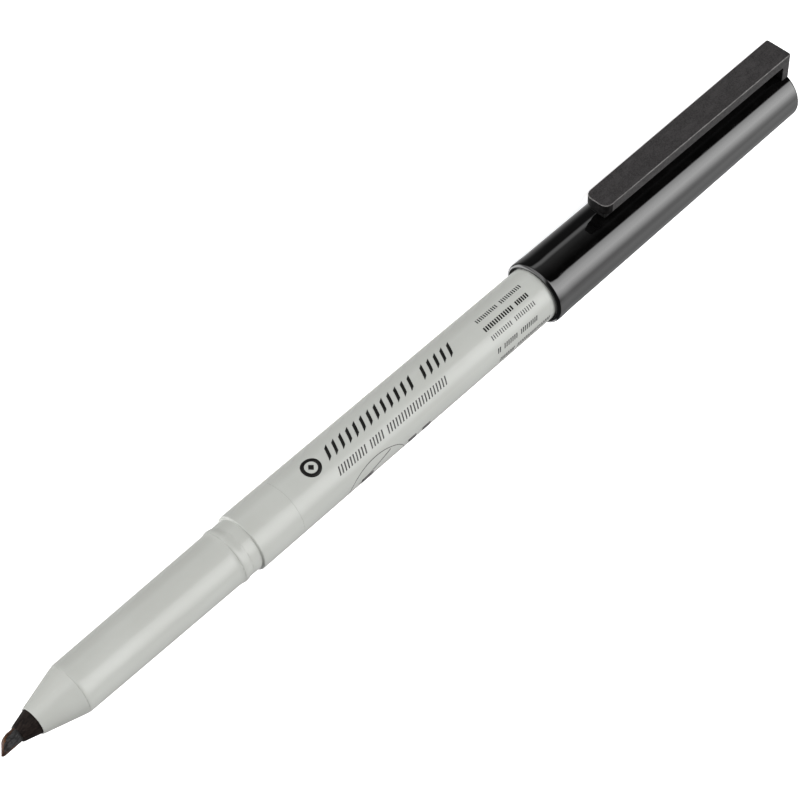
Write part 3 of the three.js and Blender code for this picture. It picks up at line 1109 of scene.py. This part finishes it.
def make_camera():
    """Looks from the nib's end of the pen, level with it, rolled so that the cap is at the upper right."""
    swing, roll = math.radians(CAMERA["swing"]), math.radians(CAMERA["roll"])
    back = -math.sin(swing) * AXIS_ALONG + math.cos(swing) * NEAR
    toward_cap = math.cos(swing) * AXIS_ALONG + math.sin(swing) * NEAR
    right = math.cos(roll) * toward_cap + math.sin(roll) * UP
    top = math.sin(roll) * toward_cap - math.cos(roll) * UP
    look = PEN @ Vector((CAMERA["station"], 0, 0)) - UP * CAMERA["below"] * MM
    data = bpy.data.cameras.new("camera")
    data.lens = CAMERA["lens"]
    data.sensor_width = CAMERA["sensor"]
    data.clip_start = CAMERA["near"]
    data.clip_end = CAMERA["far"]
    camera = linked("camera", data)
    camera.matrix_world = Matrix.Translation(look + back * CAMERA["distance"] * MM) @ Matrix(
        (right, top, back)).transposed().to_4x4()
    bpy.context.scene.camera = camera


# Radii in metres.
FLOOR = dict(radius=6.0, flats=96, albedo=0.8, roughness=0.9, glow=0.93)
DOME = dict(radius=5.5, flats=48, rings=24, glow=1.15)


def make_floor():
    """Pale glowing floor. It blocks no light, so the studio lights the pen's underside too."""
    bm = bmesh.new()
    bmesh.ops.create_circle(bm, cap_ends=True, segments=FLOOR["flats"], radius=FLOOR["radius"])
    floor = linked("floor", mesh_of(bm, "floor"))
    floor.location.z = CAD_BOX[0].z
    finish = Finish("floor_white", FLOOR["roughness"], specular=0.0)
    for key, value in (("Base Color", (FLOOR["albedo"],) * 3 + (1.0,)), ("Emission Color", (1.0,) * 4),
                       ("Emission Strength", FLOOR["glow"])):
        finish.shader.inputs[key].default_value = value
    floor.data.materials.append(finish.material)
    floor.visible_glossy = False
    floor.visible_diffuse = False
    floor.visible_shadow = False


def make_dome():
    """White backdrop all round, which only the camera sees."""
    bm = bmesh.new()
    bmesh.ops.create_uvsphere(bm, u_segments=DOME["flats"], v_segments=DOME["rings"], radius=DOME["radius"])
    mesh = mesh_of(bm, "backdrop")
    mesh.shade_smooth()
    dome = linked("backdrop", mesh)
    material = bpy.data.materials.new("backdrop_white")
    nodes = Nodes(material)
    glow = nodes.add("ShaderNodeEmission", {"Strength": DOME["glow"]})
    nodes.join(glow.outputs[0], nodes.add("ShaderNodeOutputMaterial").inputs["Surface"])
    mesh.materials.append(material)
    for ray in ("diffuse", "glossy", "transmission", "volume_scatter", "shadow"):
        setattr(dome, "visible_" + ray, False)


# The studio's lights: radiance by direction round the pen, in degrees from NEAR toward UP. Each has a window,
# its share by direction along the pen, from -1 toward the nib to 1 toward the cap.
STUDIO = [(-180, 1.4), (-165, 1), (-150, 0.6), (-128, 0.36), (-116, 0.12), (-106, 0.05), (-77, 0.05),
          (-71, 1.1), (-64, 1.1), (-57, 0.28), (-45, 0.20), (-32, 0.10), (-8, 0.01), (60, 0.01), (74, 0.40),
          (84, 1.08), (100, 1.18), (122, 0.74), (150, 0.50), (180, 0.42)]
STUDIO_WINDOW = [(-1, 0), (0, 0), (0.18, 1), (1, 1)]
SOFTBOX = [(-180, 0), (9, 0), (12, 2.9), (30, 4.3), (45, 4.7), (58, 3.3), (68, 1.8), (73, 1.1),
           (79, 0.3), (84, 0), (180, 0)]
SOFTBOX_SLANT = 0.65  # radians that the softbox drops for each unit toward the nib
SOFTBOX_MIDDLE = 0.52  # where along the pen the softbox's angles are stated
SOFTBOX_WINDOW = [(-1, 0), (0.02, 0), (0.12, 1), (0.68, 1), (0.85, 0), (1, 0)]
BEHIND = [(-180, 3), (-152, 3), (-145, 0), (145, 0), (152, 3), (180, 3)]
BEHIND_WINDOW = [(-1, 0), (-0.33, 0), (-0.25, 1), (-0.05, 1), (0.08, 0), (1, 0)]
FRONT = [(-180, 0.05), (-163, 0.3), (-150, 4), (-120, 4), (-106, 1), (-90, 1), (-75, 2.1), (-25, 2.1),
          (0, 0.15), (30, 0.05), (180, 0.05)]
FRONT_WINDOW = [(-1, 1), (-0.25, 1), (-0.05, 0), (1, 0)]


class Studio(Nodes):
    """World light by direction."""

    def __init__(self):
        world = bpy.data.worlds.new("studio")
        bpy.context.scene.world = world
        super().__init__(world)
        self.direction = self.add("ShaderNodeTexCoord").outputs["Generated"]

    def part(self, vector):
        """How far the direction goes along a vector."""
        node = self.add("ShaderNodeVectorMath", {1: vector}, operation="DOT_PRODUCT")
        self.join(self.direction, node.inputs[0])
        return node.outputs["Value"]

    def math(self, operation, a, b):
        """The result of an operation on two numbers or outputs."""
        node = self.add("ShaderNodeMath", operation=operation)
        for socket, value in zip(node.inputs, (a, b)):
            if isinstance(value, (int, float)):
                socket.default_value = value
            else:
                self.join(value, socket)
        return node.outputs[0]

    def curve(self, value, points):
        """Straight lines through points, by a ramp over the points' own range."""
        low, high = points[0][0], points[-1][0]
        peak = max(p[1] for p in points)
        share = self.math("DIVIDE", self.math("SUBTRACT", value, low), high - low)
        ramp = self.add("ShaderNodeValToRGB")
        elements = ramp.color_ramp.elements
        elements[0].position, elements[1].position = 0.0, 1.0
        for x, y in points[1:-1]:
            elements.new((x - low) / (high - low)).color = (*[y / peak] * 3, 1.0)
        for element, y in ((elements[0], points[0][1]), (elements[-1], points[-1][1])):
            element.color = (*[y / peak] * 3, 1.0)
        self.join(share, ramp.inputs["Fac"])
        return self.math("MULTIPLY", ramp.outputs["Color"], peak)


def make_light():
    s = Studio()
    along = s.part(AXIS_ALONG)
    turn = s.math("ARCTAN2", s.part(UP), s.part(NEAR))
    degrees = s.math("MULTIPLY", turn, math.degrees(1))
    drop = s.math("MULTIPLY", s.math("SUBTRACT", along, SOFTBOX_MIDDLE), math.degrees(SOFTBOX_SLANT))
    softbox = s.math("MULTIPLY", s.curve(s.math("SUBTRACT", degrees, drop), SOFTBOX),
                     s.curve(along, SOFTBOX_WINDOW))
    total = softbox
    for level, window in ((STUDIO, STUDIO_WINDOW), (BEHIND, BEHIND_WINDOW), (FRONT, FRONT_WINDOW)):
        total = s.math("ADD", total, s.math("MULTIPLY", s.curve(degrees, level), s.curve(along, window)))
    background = s.add("ShaderNodeBackground")
    s.join(total, background.inputs["Strength"])
    s.join(background.outputs[0], s.add("ShaderNodeOutputWorld").inputs["Surface"])


# Places, sizes and distance in metres, turn in degrees from NEAR toward UP.
OVERHEAD = dict(place=(0.0, 0.12, 0.75), size=(0.9, 0.35), watts=1.4)
FILL = dict(turn=-24.0, toward_nib=0.35, distance=1.0, size=(0.7, 0.5), watts=3.0)
REAR = dict(place=(-0.4, 0.8, 0.35), size=(0.7, 0.5), watts=2.0)


def area_light(name, place, size, watts):
    """Soft rectangular light that faces the middle of the pen."""
    data = bpy.data.lights.new(name, "AREA")
    data.shape = "RECTANGLE"
    data.size, data.size_y = size
    data.energy = watts
    light = linked(name, data)
    light.location = place
    light.rotation_euler = (-Vector(place)).to_track_quat("-Z", "Y").to_euler()
    return light


def make_lamps():
    """Lights from above, from the camera's side and from behind. None of them leaves a highlight."""
    overhead = area_light("overhead", OVERHEAD["place"], OVERHEAD["size"], OVERHEAD["watts"])
    turn = math.radians(FILL["turn"])
    toward = NEAR * math.cos(turn) + UP * math.sin(turn) - AXIS_ALONG * FILL["toward_nib"]
    place = toward.normalized() * FILL["distance"]
    fill = area_light("fill", place, FILL["size"], FILL["watts"])
    rear = area_light("rear_fill", REAR["place"], REAR["size"], REAR["watts"])
    for light in (overhead, fill, rear):
        light.visible_glossy = False


build_pen()
build_cap()
make_camera()
make_floor()
make_dome()
make_light()
make_lamps()
bpy.context.scene.view_settings.view_transform = "Standard"
